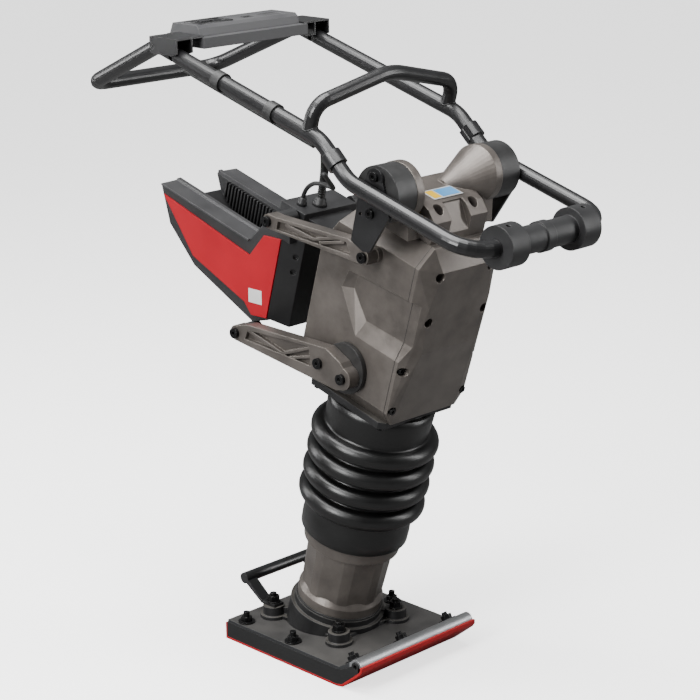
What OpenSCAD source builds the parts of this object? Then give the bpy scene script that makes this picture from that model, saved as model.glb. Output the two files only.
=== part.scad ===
// Battery powered tamping rammer, modelled as its separate pieces.
// World frame: +X forward to the lifting roller, +Y to the machine's left, +Z up.
// The origin is the centre of the sole's underside. Everything above the shoe is drawn in a
// leaning frame whose Z runs up the leg's axis and whose X runs forward, square to the leg.

/* [Shoe] */
// Width of the shoe across the machine
shoe_w = 280; // [240:2:340]
// Length of the shoe from its back edge to the tip of its nose
shoe_l = 342; // [300:2:400]
// Thickness of the shoe's black core
core_t = 28; // [20:1:36]
// Thickness of the red sole plate
sole_t = 4; // [3:0.5:6]
// Thickness of the steel plate on top of the core
deck_t = 4; // [3:0.5:6]
// Radius of the roll along the nose
nose_r = 12; // [9:0.5:14]

/* [Leg] */
// Forward lean of the leg
lean = 16; // [13:0.5:18]
// How far the leg's axis meets the ground behind the shoe's middle
leg_back = 48.5; // [40:0.5:55]
// Outer radius of the round flange at the foot of the leg
flange_r = 75; // [68:1:80]
// Outer radius of the spring cylinder
cyl_r = 62; // [51:0.5:64]
// Wall of the spring cylinder
cyl_t = 6; // [4:0.5:8]
// Height of the crankcase floor up the leg
case_s = 508; // [500:2:560]
// Radius of the lever that drives the piston
crank_throw = 22; // [16:1:26]

/* [Bellows] */
// Outer radius of a fold of the bellows
fold_r = 110; // [100:1:116]
// Distance from one fold to the next
fold_pitch = 40; // [36:1:42]
// Number of folds
fold_n = 4; // [3:1:4]

/* [Crankcase] */
// Half of the crankcase's width
case_hw = 92; // [86:1:112]
// Height of the crankcase
case_h = 318; // [310:2:380]
// Wall of the crankcase
case_t = 12; // [9:1:14]
// Distance from the leg's axis to the front cover's joint face
seam_u = 84; // [80:1:92]
// Thickness of the front cover's rim
cover_t = 7; // [6:0.5:10]

/* [Handle] */
// Radius of the frame tube
tube_r = 13; // [10:0.1:16]
// Wall of the frame tube
tube_t = 2.5; // [1.5:0.5:4]
// Half of the distance between the side tubes' centres
frame_hw = 158; // [150:1:190]
// Radius of the rubber mount drums
drum_r = 46; // [38:1:50]
// Radius of the lifting roller's flanges
roller_r = 34; // [30:1:42]

/* [Battery bay] */
// Half of the bay's width
bay_hw = 88; // [80:1:92]
// Half of the battery slot's width
slot_hw = 44; // [36:1:52]
// Thickness of the arms that carry the bay
arm_t = 22; // [16:1:24]

/* [Hidden] */
$fn = 48;

fit = 0.05;       // running clearance of a shaft or sliding tube
gap = 0.4;        // air between pieces that move past each other
eps = 0.01;       // lets a cutter pass through a face

casting = "#6d6864";
black_steel = "#2b2b2c";
black_plastic = "#333333";
rubber = "#1a1a1a";
red = "#e01020";
bare_steel = "#8a8a8a";

// ---- shoe ----
shoe_back = -shoe_l / 2;
shoe_top = sole_t + core_t + deck_t;
nose_rise = 1.55 * nose_r;                // how far the nose roll's centre lies above the deck
nose_x = shoe_l / 2 - nose_r - sole_t;    // centre of the nose roll
nose_z = shoe_top + nose_rise - nose_r / 2;
sled_x = nose_x - 46;                     // where the underside starts to rise
ramp_x = nose_x - 46;                     // where the deck starts to rise

// ---- heights up the leg ----
leg_x = -leg_back;
base_top_s = 84;
gasket_t = 4;
leg_s = base_top_s + gasket_t;
flange_t = 16;
leg_top_s = leg_s + 150;
cyl_s0 = leg_s + 12;
cyl_s1 = case_s - 108;
guide_s0 = leg_top_s + 42;
guide_t = 7;
guide_r = cyl_r + fit;
leg_flat0 = flange_r * 0.9;               // from the leg's axis to its eight flats, at the foot
leg_flat1 = flange_r * 0.98;              // and at the top
leg_round = 1.035;                        // the round blank that cuts the corners off the flats
neck_r = max(guide_r + guide_t + 16, leg_flat1 * leg_round + 1);
cuff_s = leg_top_s - 8;
fold_s0 = case_s - 84 - (fold_n - 1) * fold_pitch;

// ---- crank train ----
crank_s = case_s + 192;
rod_len = 105;
wrist_s = crank_s - crank_throw - rod_len;
gear_m = 2.5;
gear_teeth = 44;
pinion_teeth = 14;
gear_pr = gear_m * gear_teeth / 2;
pinion_pr = gear_m * pinion_teeth / 2;
motor_turn = 14 * 360 / gear_teeth - 90;
motor_u = -(gear_pr + pinion_pr) * sin(motor_turn);
motor_s = crank_s + (gear_pr + pinion_pr) * cos(motor_turn);
gear_y = 12;
gear_w = 22;
half_tooth = 180 / pinion_teeth;
rod_w = 18;
pin_r = 10;
shaft_r = 17;
bearing_r = 31;
pocket_d = 12;                        // depth of the sunk panels in the crankcase sides
bore_y = case_hw - pocket_d - 5;      // where the bearing bore ends, inside the sunk panel
stator_r = 34;
rotor_r = 19;

// ---- piston ----
piston_t = 24;
stroke = 2 * crank_throw;
leg_down = 30;
leg_up = 35;
cyl_floor_s = cyl_s0 + 14;
cyl_roof_s = cyl_s1 - 12;
piston_s = cyl_floor_s + 65 + leg_down;
rod_r = 13;
fork_gap = rod_w + 2;
fork_w = 52;
eye_r = 17;
fork_floor_s = wrist_s - eye_r - stroke - 2;
fork_s = fork_floor_s - 6;
fork_top_s = wrist_s + 14;

// ---- top casting and handle ----
case_top_s = case_s + case_h;
drum_u = 18;
drum_s = case_top_s + 73;
plate_t = 5;
plate_y = frame_hw - tube_r - plate_t;
drum_len = 42;
drum_y = plate_y - drum_len;
low_s = drum_s + 5;
high_s = drum_s + 44;
jog_u0 = drum_u - 46;
jog_u1 = drum_u - 123;
roller_u = drum_u + 218;
roller_hl = 103;
tube_end_u = -455;
hoop_u = -130;
loop_u = -681;
loop_s = high_s - 143;
loop_hw = frame_hw - 15;
panel_h = 18;
panel_hw = 118;
pod_h = 18;

// ---- battery bay: side view corners in the leaning frame ----
bay_s = case_s + 158;                 // top of the battery rails
rail_end_u = -289;
bay_back_u = -526;
bay_front_u = -186;
tower_s = bay_s + 40;
bay_side = [
    [bay_back_u, bay_s], [bay_back_u + 37, bay_s - 59], [bay_back_u + 115, bay_s - 105],
    [-248, bay_s - 135], [-211, bay_s - 114], [bay_front_u, bay_s - 121],
    [bay_front_u, tower_s], [-265, tower_s], [rail_end_u, bay_s]
];
panel_side = [
    [bay_back_u + 12, bay_s - 13], [bay_back_u + 72, bay_s - 58],
    [bay_back_u + 111, bay_s - 88], [-273, bay_s - 108], [-251, bay_s - 123],
    [-215, bay_s - 112], [-215, bay_s + 37], [-255, bay_s + 26], [-280, bay_s - 23]
];
skin_t = 3;
housing_gap = 12;
housing_s = tower_s + 46;
housing_u0 = -256;
housing_u1 = -198;
housing_hw = 60;

// ---- arms: pivots in the leaning frame ----
arm_y = max(bay_hw, case_hw) + 10;    // inner face of the arms
disc_u = -9;
disc_s = case_s + 60;
disc_r = 43;
low_pivot = [-244, case_s + 12];
low_bolt_a = [-46, case_s + 56];
low_bolt_b = [9.4, case_s + 55];
top_pivot = [-217, case_s + 235];
top_boss = [1, case_s + 272];
boss_r = 11;
boss_in = 6;                          // how deep the upper arm's bolt is set in the case wall
pivot_r = 6;

// where a point [u, s] of the leaning frame stands in the world, as [x, z]
function at_world(us) = [
    leg_x + us[0] * cos(lean) + us[1] * sin(lean), us[1] * cos(lean) - us[0] * sin(lean)
];

module leaning() {
    translate([leg_x, 0, 0]) rotate([0, lean, 0]) children();
}

// lays a side-view outline (X forward, Y up) across the machine, centred on y
module across(y, w) {
    translate([0, y + w / 2, 0]) rotate([90, 0, 0]) linear_extrude(height = w) children();
}

// a round bar across the machine at [u, s], from y0 to y1
module cross_bar(us, y0, y1, r) {
    translate([us[0], y1, us[1]]) rotate([90, 0, 0]) cylinder(r = r, h = y1 - y0);
}

module mirrored() {
    children();
    mirror([0, 1, 0]) children();
}

// a hexagon headed bolt standing on z = 0
module hex_bolt(head_r, head_h) {
    cylinder(r = head_r, h = head_h, $fn = 6);
}

// a hexagon nut on its stud, with a washer under it, standing on z = 0
module stud_nut(thread_r, stud_h) {
    cylinder(r = 2.1 * thread_r, h = 2.5);
    translate([0, 0, 2.5]) cylinder(r = 1.85 * thread_r, h = 1.6 * thread_r, $fn = 6);
    cylinder(r = thread_r, h = stud_h);
}

// ---- bent tube ----
function unit(v) = v / norm(v);
function bend_angle(a, b) = acos(max(-1, min(1, a * b)));

// a straight round bar from a to b
module bar(a, b, r) {
    d = b - a;
    length = norm(d);
    turn = atan2(d[1], d[0]);
    tip = acos(d[2] / length);
    translate(a) rotate([0, tip, turn]) cylinder(r = r, h = length);
}

// points round the bend of radius r at corner c, between the directions d0 and d1
bend_steps = 7;
function bend_at(c, d0, d1, r) =
    let (angle = bend_angle(d0, d1), out = cross(d0, unit(cross(d0, d1))),
         centre = c - d0 * r * tan(angle / 2) - out * r)
    [for (k = [0 : bend_steps]) let (a = angle * k / bend_steps)
        centre + r * (out * cos(a) + d0 * sin(a))];

// centre line through the corners p, each rounded by its radius; both ends run on by `past`
function centre_line(p, radii, past = 0) = let (last = len(p) - 1) [
    p[0] + unit(p[0] - p[1]) * past,
    for (i = [1 : last - 1])
        each bend_at(p[i], unit(p[i] - p[i - 1]), unit(p[i + 1] - p[i]), radii[i]),
    p[last] + unit(p[last] - p[last - 1]) * past
];

// a closed sweep of an n-sided round section along the points p; `ref` is a direction the
// route never runs along
function ring(p, d, r, n, ref) = let (a = unit(cross(d, ref)), b = cross(d, a))
    [for (k = [0 : n - 1]) p + r * (a * cos(360 * k / n) + b * sin(360 * k / n))];
function heading(p, i) = unit(p[min(i + 1, len(p) - 1)] - p[max(i - 1, 0)]);

module sweep(p, r, n, ref) {
    last = len(p) - 1;
    points = [for (i = [0 : last]) each ring(p[i], heading(p, i), r, n, ref)];
    walls = [for (i = [0 : last - 1], k = [0 : n - 1])
        [i * n + k, (i + 1) * n + k, (i + 1) * n + (k + 1) % n, i * n + (k + 1) % n]];
    start = [for (k = [0 : n - 1]) k];
    end = [for (k = [n - 1 : -1 : 0]) last * n + k];
    polyhedron(points, concat(walls, [start, end]));
}

up = [0, 0, 1];
forward = [1, 0, 0];
tube_n = 24;
module bent_tube(p, radii) {
    difference() {
        sweep(centre_line(p, radii), tube_r, tube_n, up);
        sweep(centre_line(p, radii, 1), tube_r - tube_t, tube_n, up);
    }
}

// =========================== shoe ===========================
// side outline of the core: flat underside, sled-like rise to the nose, flat top
module core_outline() {
    difference() {
        union() {
            polygon([
                [shoe_back + sole_t, sole_t], [sled_x, sole_t],
                [sled_x + 14, sole_t + 3], [nose_x + nose_r * 0.64, nose_z - nose_r * 0.77],
                [nose_x + nose_r * 0.5, nose_z], [nose_x - nose_r * 0.5, nose_z],
                [ramp_x + 10, shoe_top - deck_t], [shoe_back + sole_t, shoe_top - deck_t]
            ]);
            translate([nose_x, nose_z]) circle(r = nose_r - deck_t);
        }
        translate([nose_x, nose_z]) circle(r = 4);
    }
}

module sole_plate() {
    color(red) across(0, shoe_w) {
        difference() {
            polygon([
                [shoe_back, 0], [sled_x, 0], [sled_x + 16, 3],
                [nose_x + nose_r * 0.64 + sole_t * 0.8, nose_z - nose_r * 0.77 - sole_t * 0.7],
                [nose_x + nose_r + sole_t, nose_z - nose_r * 0.4],
                [nose_x + nose_r + sole_t, nose_z + 2],
                [nose_x + nose_r, nose_z + 2], [nose_x + nose_r, nose_z - nose_r * 0.3],
                [nose_x + nose_r * 0.64, nose_z - nose_r * 0.77],
                [sled_x + 14, sole_t + 3], [sled_x, sole_t],
                [shoe_back + sole_t, sole_t], [shoe_back + sole_t, shoe_top - deck_t - 2],
                [shoe_back, shoe_top - deck_t - 2]
            ]);
            translate([nose_x, nose_z]) circle(r = nose_r);
        }
    }
}

module shoe_core() {
    color(black_plastic) across(0, shoe_w) core_outline();
}

// steel deck that rises at the front and rolls over the nose
module shoe_deck() {
    color("#4a4b4d") across(0, shoe_w - 4) {
        difference() {
            union() {
                polygon([
                    [shoe_back + sole_t, shoe_top - deck_t], [ramp_x + 10, shoe_top - deck_t],
                    [nose_x - nose_r * 0.5, nose_z], [nose_x - nose_r * 0.9, nose_z + nose_r * 0.5],
                    [ramp_x + 6, shoe_top], [shoe_back + sole_t, shoe_top]
                ]);
                translate([nose_x, nose_z]) intersection() {
                    circle(r = nose_r);
                    translate([-nose_r, 0]) square([2 * nose_r, nose_r]);
                }
            }
            translate([nose_x, nose_z]) circle(r = nose_r - deck_t);
            core_outline();
        }
    }
}

nose_bolt_y = shoe_w / 2 - 25;
ramp_foot = [ramp_x + 6, shoe_top];
ramp_top = [nose_x - nose_r * 0.9, nose_z + nose_r * 0.5];
ramp_angle = atan2(ramp_top[1] - ramp_foot[1], ramp_top[0] - ramp_foot[0]);
module nose_bolts() {
    for (y = [-nose_bolt_y, 0, nose_bolt_y])
        translate([ramp_foot[0], y, ramp_foot[1]]) rotate([0, -ramp_angle, 0])
            translate([15, 0, 0]) {
                translate([-9, -12, 0]) cube([18, 26, 2]);
                hex_bolt(9, 9);
                translate([0, 0, 9]) cylinder(r = 5, h = 6);
                translate([0, 10, 2]) cylinder(r = 3.5, h = 8);
            }
}

shoe_bolt_x = [shoe_back + 36, shoe_back + 156];
module shoe_bolts() {
    color(black_steel) {
        nose_bolts();
        mirrored() for (x = shoe_bolt_x) translate([x, shoe_w / 2 - 18, shoe_top]) {
            cylinder(r = 15, h = 2.5);
            translate([0, 0, 2.5]) hex_bolt(10, 8);
            translate([0, 0, 10.5]) cylinder(r = 5.5, h = 9);
        }
    }
}

// =========================== leg ===========================
lug_x = [leg_x - 72, leg_x + 94];
lug_y = 70;
lug_r = 19;
lug_h = 22;
stud_r = 6;

module above_deck() {
    intersection() {
        children();
        translate([-500, -300, shoe_top]) cube([1000, 600, 600]);
    }
}

module base_casting() {
    color(black_steel) difference() {
        union() {
            above_deck() leaning() {
                cylinder(r = flange_r + 9, h = base_top_s - 12);
                cylinder(r = flange_r + 3, h = base_top_s);
            }
            for (x = lug_x) mirrored() {
                translate([x, lug_y, shoe_top]) cylinder(r = lug_r, h = lug_h);
                translate([x, lug_y, shoe_top]) cylinder(r = lug_r + 5, h = 6);
            }
            for (x = lug_x) mirrored() translate([x, lug_y, shoe_top])
                rotate([0, 0, atan2(-lug_y, leg_x + 14 - x)]) translate([0, -5, 0])
                    cube([52, 10, lug_h - 4]);
            translate([lug_x[0], -lug_y, shoe_top]) cube([lug_x[1] - lug_x[0], 2 * lug_y, 6]);
        }
        leaning() translate([0, 0, -10]) cylinder(r = cyl_r + gap, h = base_top_s + 20);
    }
}

module base_nuts() {
    color(black_steel) for (x = lug_x) mirrored() {
        foot_under = x < leg_x ? grip_t : 0;
        translate([x, lug_y, shoe_top + lug_h + foot_under]) stud_nut(stud_r, 17);
    }
}

// carrying grip behind the leg: a round bar on two cranked flats held by the rear nuts
grip_t = 5;
grip_w = 22;
grip_at = [lug_x[0] - 65, shoe_top + 56];
grip_r = 10;
module foot_grip() {
    foot_z = shoe_top + lug_h;
    knee_x = lug_x[0] - 20;
    rise = [grip_at[0] - knee_x, grip_at[1] - foot_z];
    side = unit([-rise[1], rise[0]]) * grip_t;
    arm = [
        [lug_x[0] + 14, foot_z], [lug_x[0] + 14, foot_z + grip_t], [knee_x, foot_z + grip_t],
        [grip_at[0] - side[0] / 2 + 3, grip_at[1] - side[1] / 2],
        [grip_at[0] + side[0] / 2 - 3, grip_at[1] + side[1] / 2], [knee_x, foot_z]
    ];
    color(black_steel) {
        difference() {
            mirrored() across(lug_y, grip_w) polygon(arm);
            for (y = [-lug_y, lug_y])
                translate([lug_x[0], y, foot_z - 5]) cylinder(r = stud_r + gap, h = 20);
        }
        cross_bar(grip_at, -lug_y - grip_w / 2, lug_y + grip_w / 2, grip_r);
    }
}

module leg_gasket() {
    color(rubber) leaning() translate([0, 0, base_top_s]) difference() {
        cylinder(r = flange_r + 2, h = gasket_t);
        translate([0, 0, -1]) cylinder(r = cyl_r + gap, h = gasket_t + 2);
    }
}

collar_h = 30;
module leg_casting() {
    color(casting) leaning() difference() {
        union() {
            translate([0, 0, leg_s]) cylinder(r = flange_r, h = flange_t);
            translate([0, 0, leg_s + flange_t]) cylinder(r1 = flange_r, r2 = flange_r - 12, h = 20);
            intersection() {
                intersection_for(i = [0 : 3]) rotate([0, 0, 22.5 + 45 * i]) across(0, 400)
                    polygon([
                        [-leg_flat0, leg_s + 4], [leg_flat0, leg_s + 4],
                        [leg_flat1, leg_top_s], [-leg_flat1, leg_top_s]
                    ]);
                translate([0, 0, leg_s])
                    cylinder(r1 = leg_flat0 * leg_round, r2 = leg_flat1 * leg_round, h = leg_top_s - leg_s);
            }
            // seam ridge up the back and front
            for (a = [0, 180]) rotate([0, 0, a]) translate([leg_flat0 - 6, -3, leg_s + flange_t])
                cube([8, 6, leg_top_s - leg_s - flange_t - collar_h]);
            translate([0, 0, leg_top_s - collar_h]) cylinder(r = neck_r - 1, h = collar_h);
        }
        translate([0, 0, leg_s - 1]) cylinder(r = cyl_r, h = 400);
    }
}

module spring_cylinder() {
    color(bare_steel) leaning() difference() {
        translate([0, 0, leg_s]) cylinder(r = cyl_r, h = cyl_s1 - leg_s);
        translate([0, 0, cyl_floor_s]) cylinder(r = cyl_r - cyl_t, h = cyl_roof_s - cyl_floor_s);
        translate([0, 0, cyl_floor_s]) cylinder(r = rod_r + 0.08, h = 400);
    }
}

// an open coil spring from s0 to s1
spring_r = 38;
wire_r = 5;
module coil(s0, s1, turns) {
    steps = 14 * turns;
    z0 = s0 + wire_r;
    rise = s1 - s0 - 2 * wire_r;
    route = [for (i = [0 : steps])
        [spring_r * cos(360 * i / 14), spring_r * sin(360 * i / 14), z0 + rise * i / steps]];
    sweep(route, wire_r, 8, up);
}

module lower_spring() {
    color(bare_steel) leaning() coil(cyl_floor_s, piston_s - piston_t / 2, 5);
}

module upper_spring() {
    color(bare_steel) leaning() coil(piston_s + piston_t / 2, cyl_roof_s, 8);
}

module piston() {
    color("#b0b0b0") leaning() difference() {
        translate([0, 0, piston_s - piston_t / 2])
            cylinder(r = cyl_r - cyl_t - 0.08, h = piston_t);
        translate([0, 0, piston_s - piston_t]) cylinder(r = rod_r - 2, h = 2 * piston_t);
    }
}

// the rod ends in a fork; the con rod's small eye hangs between its cheeks
module piston_rod() {
    color(bare_steel) leaning() difference() {
        union() {
            translate([0, 0, piston_s - piston_t / 2]) cylinder(r = rod_r - 2, h = piston_t);
            translate([0, 0, piston_s + piston_t / 2])
                cylinder(r = rod_r, h = fork_s - piston_s - piston_t / 2);
            translate([-20, -fork_w / 2, fork_s]) cube([40, fork_w, fork_top_s - fork_s]);
        }
        translate([-21, -fork_gap / 2, fork_floor_s]) cube([42, fork_gap, 200]);
        cross_bar([0, wrist_s], -40, 40, pin_r - 2 + fit);
    }
}

// =========================== bellows ===========================
fold_bead = 17;
module bellows() {
    color(rubber) leaning() rotate_extrude() difference() {
        union() {
            translate([neck_r, cuff_s]) square([9, fold_s0 - cuff_s]);
            translate([neck_r, fold_s0]) square([6, (fold_n - 1) * fold_pitch]);
            translate([neck_r, case_s - 84]) square([7, 84 - base_t]);
            for (i = [0 : fold_n - 1])
                translate([fold_r - fold_bead, fold_s0 + i * fold_pitch]) circle(r = fold_bead);
        }
        translate([0, cuff_s - 1]) square([neck_r, 400]);
    }
}

// =========================== crankcase ===========================
module guide_cylinder() {
    color(bare_steel) leaning() difference() {
        translate([0, 0, guide_s0]) cylinder(r = guide_r + guide_t, h = case_s - guide_s0);
        translate([0, 0, guide_s0 - 1]) cylinder(r = guide_r, h = 400);
    }
}

base_t = 12;
flange_u0 = -96;
flange_hw = case_hw - 3;
module base_flange() {
    color(black_steel) leaning() difference() {
        union() {
            translate([0, 0, case_s - base_t]) linear_extrude(height = base_t) polygon([
                [flange_u0 + 12, -flange_hw], [seam_u - 10, -flange_hw],
                [seam_u, -flange_hw + 10], [seam_u, flange_hw - 10],
                [seam_u - 10, flange_hw], [flange_u0 + 12, flange_hw],
                [flange_u0, flange_hw - 12], [flange_u0, -flange_hw + 12]
            ]);
            translate([0, 0, case_s - base_t - 24]) cylinder(r = neck_r - gap, h = 26);
        }
        translate([0, 0, case_s - 60]) cylinder(r = guide_r + guide_t, h = 100);
        translate([-200, -200, case_s]) cube(400);
    }
}

flange_bolt_at = [
    [flange_u0 + 18, -flange_hw + 11], [flange_u0 + 18, flange_hw - 11],
    [seam_u - 13, -flange_hw + 11], [seam_u - 13, flange_hw - 11]
];
module flange_bolts() {
    color(black_steel) leaning() for (p = flange_bolt_at)
        translate([p[0], p[1], case_s - base_t - 6]) hex_bolt(6.5, 6);
}

// side outline of the crankcase: tapered rear foot, straight back, sloping shoulder
case_side = [
    [-85, case_s], [seam_u, case_s], [seam_u, case_top_s], [-75, case_top_s],
    [-119, case_top_s - 81], [-119, case_s + 61]
];
case_room = [
    [-79, case_s + case_t], [seam_u + 1, case_s + case_t],
    [seam_u + 1, case_top_s - case_t], [-70, case_top_s - case_t],
    [-119 + case_t, case_top_s - 85], [-119 + case_t, case_s + 64]
];
// the sunk panel in each side wall: its mouth, and its floor inside two wide bevels
pocket_u = seam_u + 31;
pocket_mouth = [
    [-50, case_s + 219], [-58, case_s + 186], [-8, case_s + 119],
    [pocket_u, case_s + 121], [pocket_u, case_s + 231]
];
pocket_floor = [
    [-38, case_s + 217], [-41, case_s + 188], [-2, case_s + 147],
    [pocket_u, case_s + 152], [pocket_u, case_s + 225]
];
module pocket() {
    hull() {
        across(case_hw + 1, 2) polygon(pocket_mouth);
        across(case_hw - pocket_d + eps, 2 * eps) polygon(pocket_floor);
    }
}
corner_c = 16;
shoulder_h = 31;
shoulder_w = 28;
module case_blank() {
    intersection() {
        across(0, 2 * case_hw) polygon(case_side);
        // corners cut at the foot and at the top, seen from the front
        translate([-400, 0, 0]) rotate([90, 0, 90]) linear_extrude(height = 800) polygon([
            [-case_hw + corner_c, case_s], [case_hw - corner_c, case_s],
            [case_hw, case_s + 24], [case_hw, case_top_s - shoulder_h],
            [case_hw - shoulder_w, case_top_s], [-case_hw + shoulder_w, case_top_s],
            [-case_hw, case_top_s - shoulder_h], [-case_hw, case_s + 24]
        ]);
    }
}

module crankcase() {
    color(casting) leaning() difference() {
        union() {
            difference() {
                case_blank();
                difference() {
                    intersection() {
                        across(0, 2 * (case_hw - pocket_d - 8)) polygon(case_room);
                        translate([-400, 0, 0]) rotate([90, 0, 90])
                            linear_extrude(height = 800) polygon([
                                [-case_hw + 24, case_s + 5], [case_hw - 24, case_s + 5],
                                [case_hw, case_s + 40], [case_hw, case_top_s - 72],
                                [case_hw - 40, case_top_s], [-case_hw + 40, case_top_s],
                                [-case_hw, case_top_s - 72], [-case_hw, case_s + 40]
                            ]);
                    }
                    cross_bar([0, crank_s], gear_y + gear_w + 4, case_hw, bearing_r + 8);
                    cross_bar([motor_u, motor_s], -case_hw, -20, stator_r + 5);
                }
                mirrored() pocket();
            }
            mirrored() {
                cross_bar(top_boss, case_hw - case_t, arm_y - gap, boss_r + 3);
                cross_bar([disc_u, disc_s], case_hw - 1, case_hw + 1, disc_r - 4);
            }
        }
        // opening for the piston rod and its fork
        translate([0, 0, case_s - 5]) cylinder(r = 44, h = 30);
        // bearing bores, motor pocket
        cross_bar([0, crank_s], 0, bore_y, bearing_r);
        cross_bar([motor_u, motor_s], -case_hw + 8, 0, stator_r);
        mirrored() cross_bar(top_boss, case_hw - boss_in, 200, pivot_r);
    }
}

// front cover: thin rim and a raised front face
cover_front = cover_t + 21;
module cover_plan() {
    polygon([
        [-case_hw + corner_c, case_s], [case_hw - corner_c, case_s],
        [case_hw, case_s + 24], [case_hw, case_top_s - shoulder_h],
        [case_hw - shoulder_w, case_top_s], [-case_hw + shoulder_w, case_top_s],
        [-case_hw, case_top_s - shoulder_h], [-case_hw, case_s + 24]
    ]);
}
module facing_front() {
    translate([seam_u, 0, 0]) rotate([90, 0, 90]) children();
}
cover_bolt_at = [
    [58, case_top_s - 43], [64, case_top_s - 121], [case_hw - 9, case_s + 105],
    [case_hw - 9, case_s + 29]
];
module front_cover() {
    color(casting) leaning() difference() {
        union() {
            facing_front() linear_extrude(height = cover_t) cover_plan();
            // facets that rise from the rim to the flat front face
            hull() {
                facing_front() translate([0, 0, cover_t - 1]) linear_extrude(height = 1) cover_plan();
                facing_front() translate([0, 0, cover_front - 1]) linear_extrude(height = 1)
                    polygon([
                        [-56, case_s + 283], [-71, case_s + 222], [-65, case_s + 139],
                        [65, case_s + 139], [71, case_s + 222], [56, case_s + 283]
                    ]);
            }
        }
        mirrored() pocket();
        // hollow behind the raised panel
        translate([seam_u - 1, -46, case_s + 60]) cube([cover_t + 6, 92, case_h - 120]);
        for (p = cover_bolt_at) mirrored() translate([seam_u + cover_t - 1, p[0], p[1]])
            rotate([0, 90, 0]) cylinder(r = 8, h = 40);
        for (p = cover_bolt_at) mirrored() translate([seam_u - 1, p[0], p[1]])
            rotate([0, 90, 0]) cylinder(r = 4, h = 40);
    }
}

// saddle and ears that carry the rubber drums
saddle_s = drum_s - 15;
saddle_bolt_at = [60, 40];
module top_casting() {
    color(casting) leaning() difference() {
        union() {
            across(0, 124) polygon([
                [-70, case_top_s], [78, case_top_s], [78, saddle_s - 22], [60, saddle_s - 6],
                [42, saddle_s], [-30, saddle_s], [-52, case_top_s + 30]
            ]);
            mirrored() {
                // each ear swells from the saddle out to its drum
                hull() {
                    cross_bar([drum_u - 17, saddle_s - 11], 28, 30, 15, $fn = 40);
                    cross_bar([drum_u, drum_s], drum_y - 15, drum_y - 13, drum_r + 1, $fn = 40);
                }
                cross_bar([drum_u, drum_s], drum_y - 14, drum_y, drum_r + 1);
                across(drum_y - 12, 24) polygon([
                    [-50, case_top_s + 6], [62, case_top_s + 6],
                    [drum_u + 30, drum_s - 10], [drum_u - 30, drum_s - 10]
                ]);
            }
        }
        across(0, 46) polygon([
            [79, case_top_s + 12], [50, saddle_s - 6], [50, saddle_s + 10], [90, saddle_s + 10]
        ]);
        mirrored() translate([saddle_bolt_at[0], saddle_bolt_at[1], case_top_s + 20])
            cylinder(r = 9, h = 100);
        mirrored() translate([saddle_bolt_at[0], saddle_bolt_at[1], case_top_s - 1])
            cylinder(r = 5, h = 100);
    }
}

module crankcase_bolts() {
    color(black_steel) leaning() {
        for (p = cover_bolt_at) mirrored() translate([seam_u + cover_t - 1, p[0], p[1]])
            rotate([0, 90, 0]) difference() {
                hex_bolt(6.5, 6);
                translate([0, 0, 3]) hex_bolt(3, 6);
            }
        mirrored() translate([saddle_bolt_at[0], saddle_bolt_at[1], case_top_s + 20])
            difference() {
                cylinder(r = 8, h = 9);
                translate([0, 0, 4]) hex_bolt(4, 9);
            }
    }
}

// =========================== crank train ===========================
module crank_bearings() {
    color("#c0c0c0") leaning() for (y = [gear_y + gear_w + 5, bore_y - 17])
        difference() {
            cross_bar([0, crank_s], y, y + 16, bearing_r);
            cross_bar([0, crank_s], y - 1, y + 17, shaft_r);
        }
}

// straight-flanked teeth: root, flank, tip, tip, flank
function gear_points(n) = [for (i = [0 : n - 1], k = [0 : 3])
    let (a = 360 / n * (i + [-0.3, -0.13, 0.13, 0.3][k]),
         r = gear_m * (n / 2 + [-1.2, 0.9, 0.9, -1.2][k]))
    r * [cos(a), sin(a)]];

module crank_gear() {
    color("#9a9a9a") leaning() difference() {
        union() {
            translate([0, gear_y + gear_w, crank_s]) rotate([90, 0, 0])
                linear_extrude(height = gear_w) polygon(gear_points(gear_teeth));
            cross_bar([0, crank_s], gear_y, bore_y - 1, shaft_r - fit);
            cross_bar([0, crank_s - crank_throw], -rod_w / 2, gear_y + 2, pin_r);
        }
        for (a = [0 : 60 : 300]) rotate_about(crank_s, a + 30)
            cross_bar([0, crank_s + 36], gear_y - 1, gear_y + gear_w + 1, 9);
    }
}
module rotate_about(s, a) {
    translate([0, 0, s]) rotate([0, a, 0]) translate([0, 0, -s]) children();
}

module con_rod() {
    big = crank_s - crank_throw;
    color("#9a9a9a") leaning() difference() {
        union() {
            cross_bar([0, big], -rod_w / 2, rod_w / 2, 20);
            cross_bar([0, wrist_s], -rod_w / 2, rod_w / 2, eye_r);
            translate([-8, -rod_w / 2, wrist_s]) cube([16, rod_w, rod_len]);
        }
        cross_bar([0, big], -rod_w, rod_w, pin_r + fit);
        cross_bar([0, wrist_s], -rod_w, rod_w, pin_r - 2);
        for (y = [-rod_w / 2 - 1, rod_w / 2 - 5])
            translate([-4, y, wrist_s + 20]) cube([8, 6, rod_len - 44]);
    }
}

module motor_stator() {
    color("#b87333") leaning() difference() {
        cross_bar([motor_u, motor_s], -case_hw + 9, -20, stator_r);
        cross_bar([motor_u, motor_s], -case_hw + 12, 0, rotor_r + 1);
    }
}

module motor_rotor() {
    color(bare_steel) leaning() {
        cross_bar([motor_u, motor_s], -case_hw + 14, -22, rotor_r);
        cross_bar([motor_u, motor_s], -22, gear_y, 8);
        translate([motor_u, gear_y + gear_w, motor_s]) rotate([0, 90 - motor_turn - half_tooth, 0])
            rotate([90, 0, 0]) linear_extrude(height = gear_w)
                polygon(gear_points(pinion_teeth));
    }
}

// =========================== drums and discs ===========================
module drum() {
    cross_bar([drum_u, drum_s], drum_y, plate_y, drum_r);
}
module drum_left() {
    color(rubber) leaning() drum();
}
module drum_right() {
    color(rubber) leaning() mirror([0, 1, 0]) drum();
}

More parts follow.
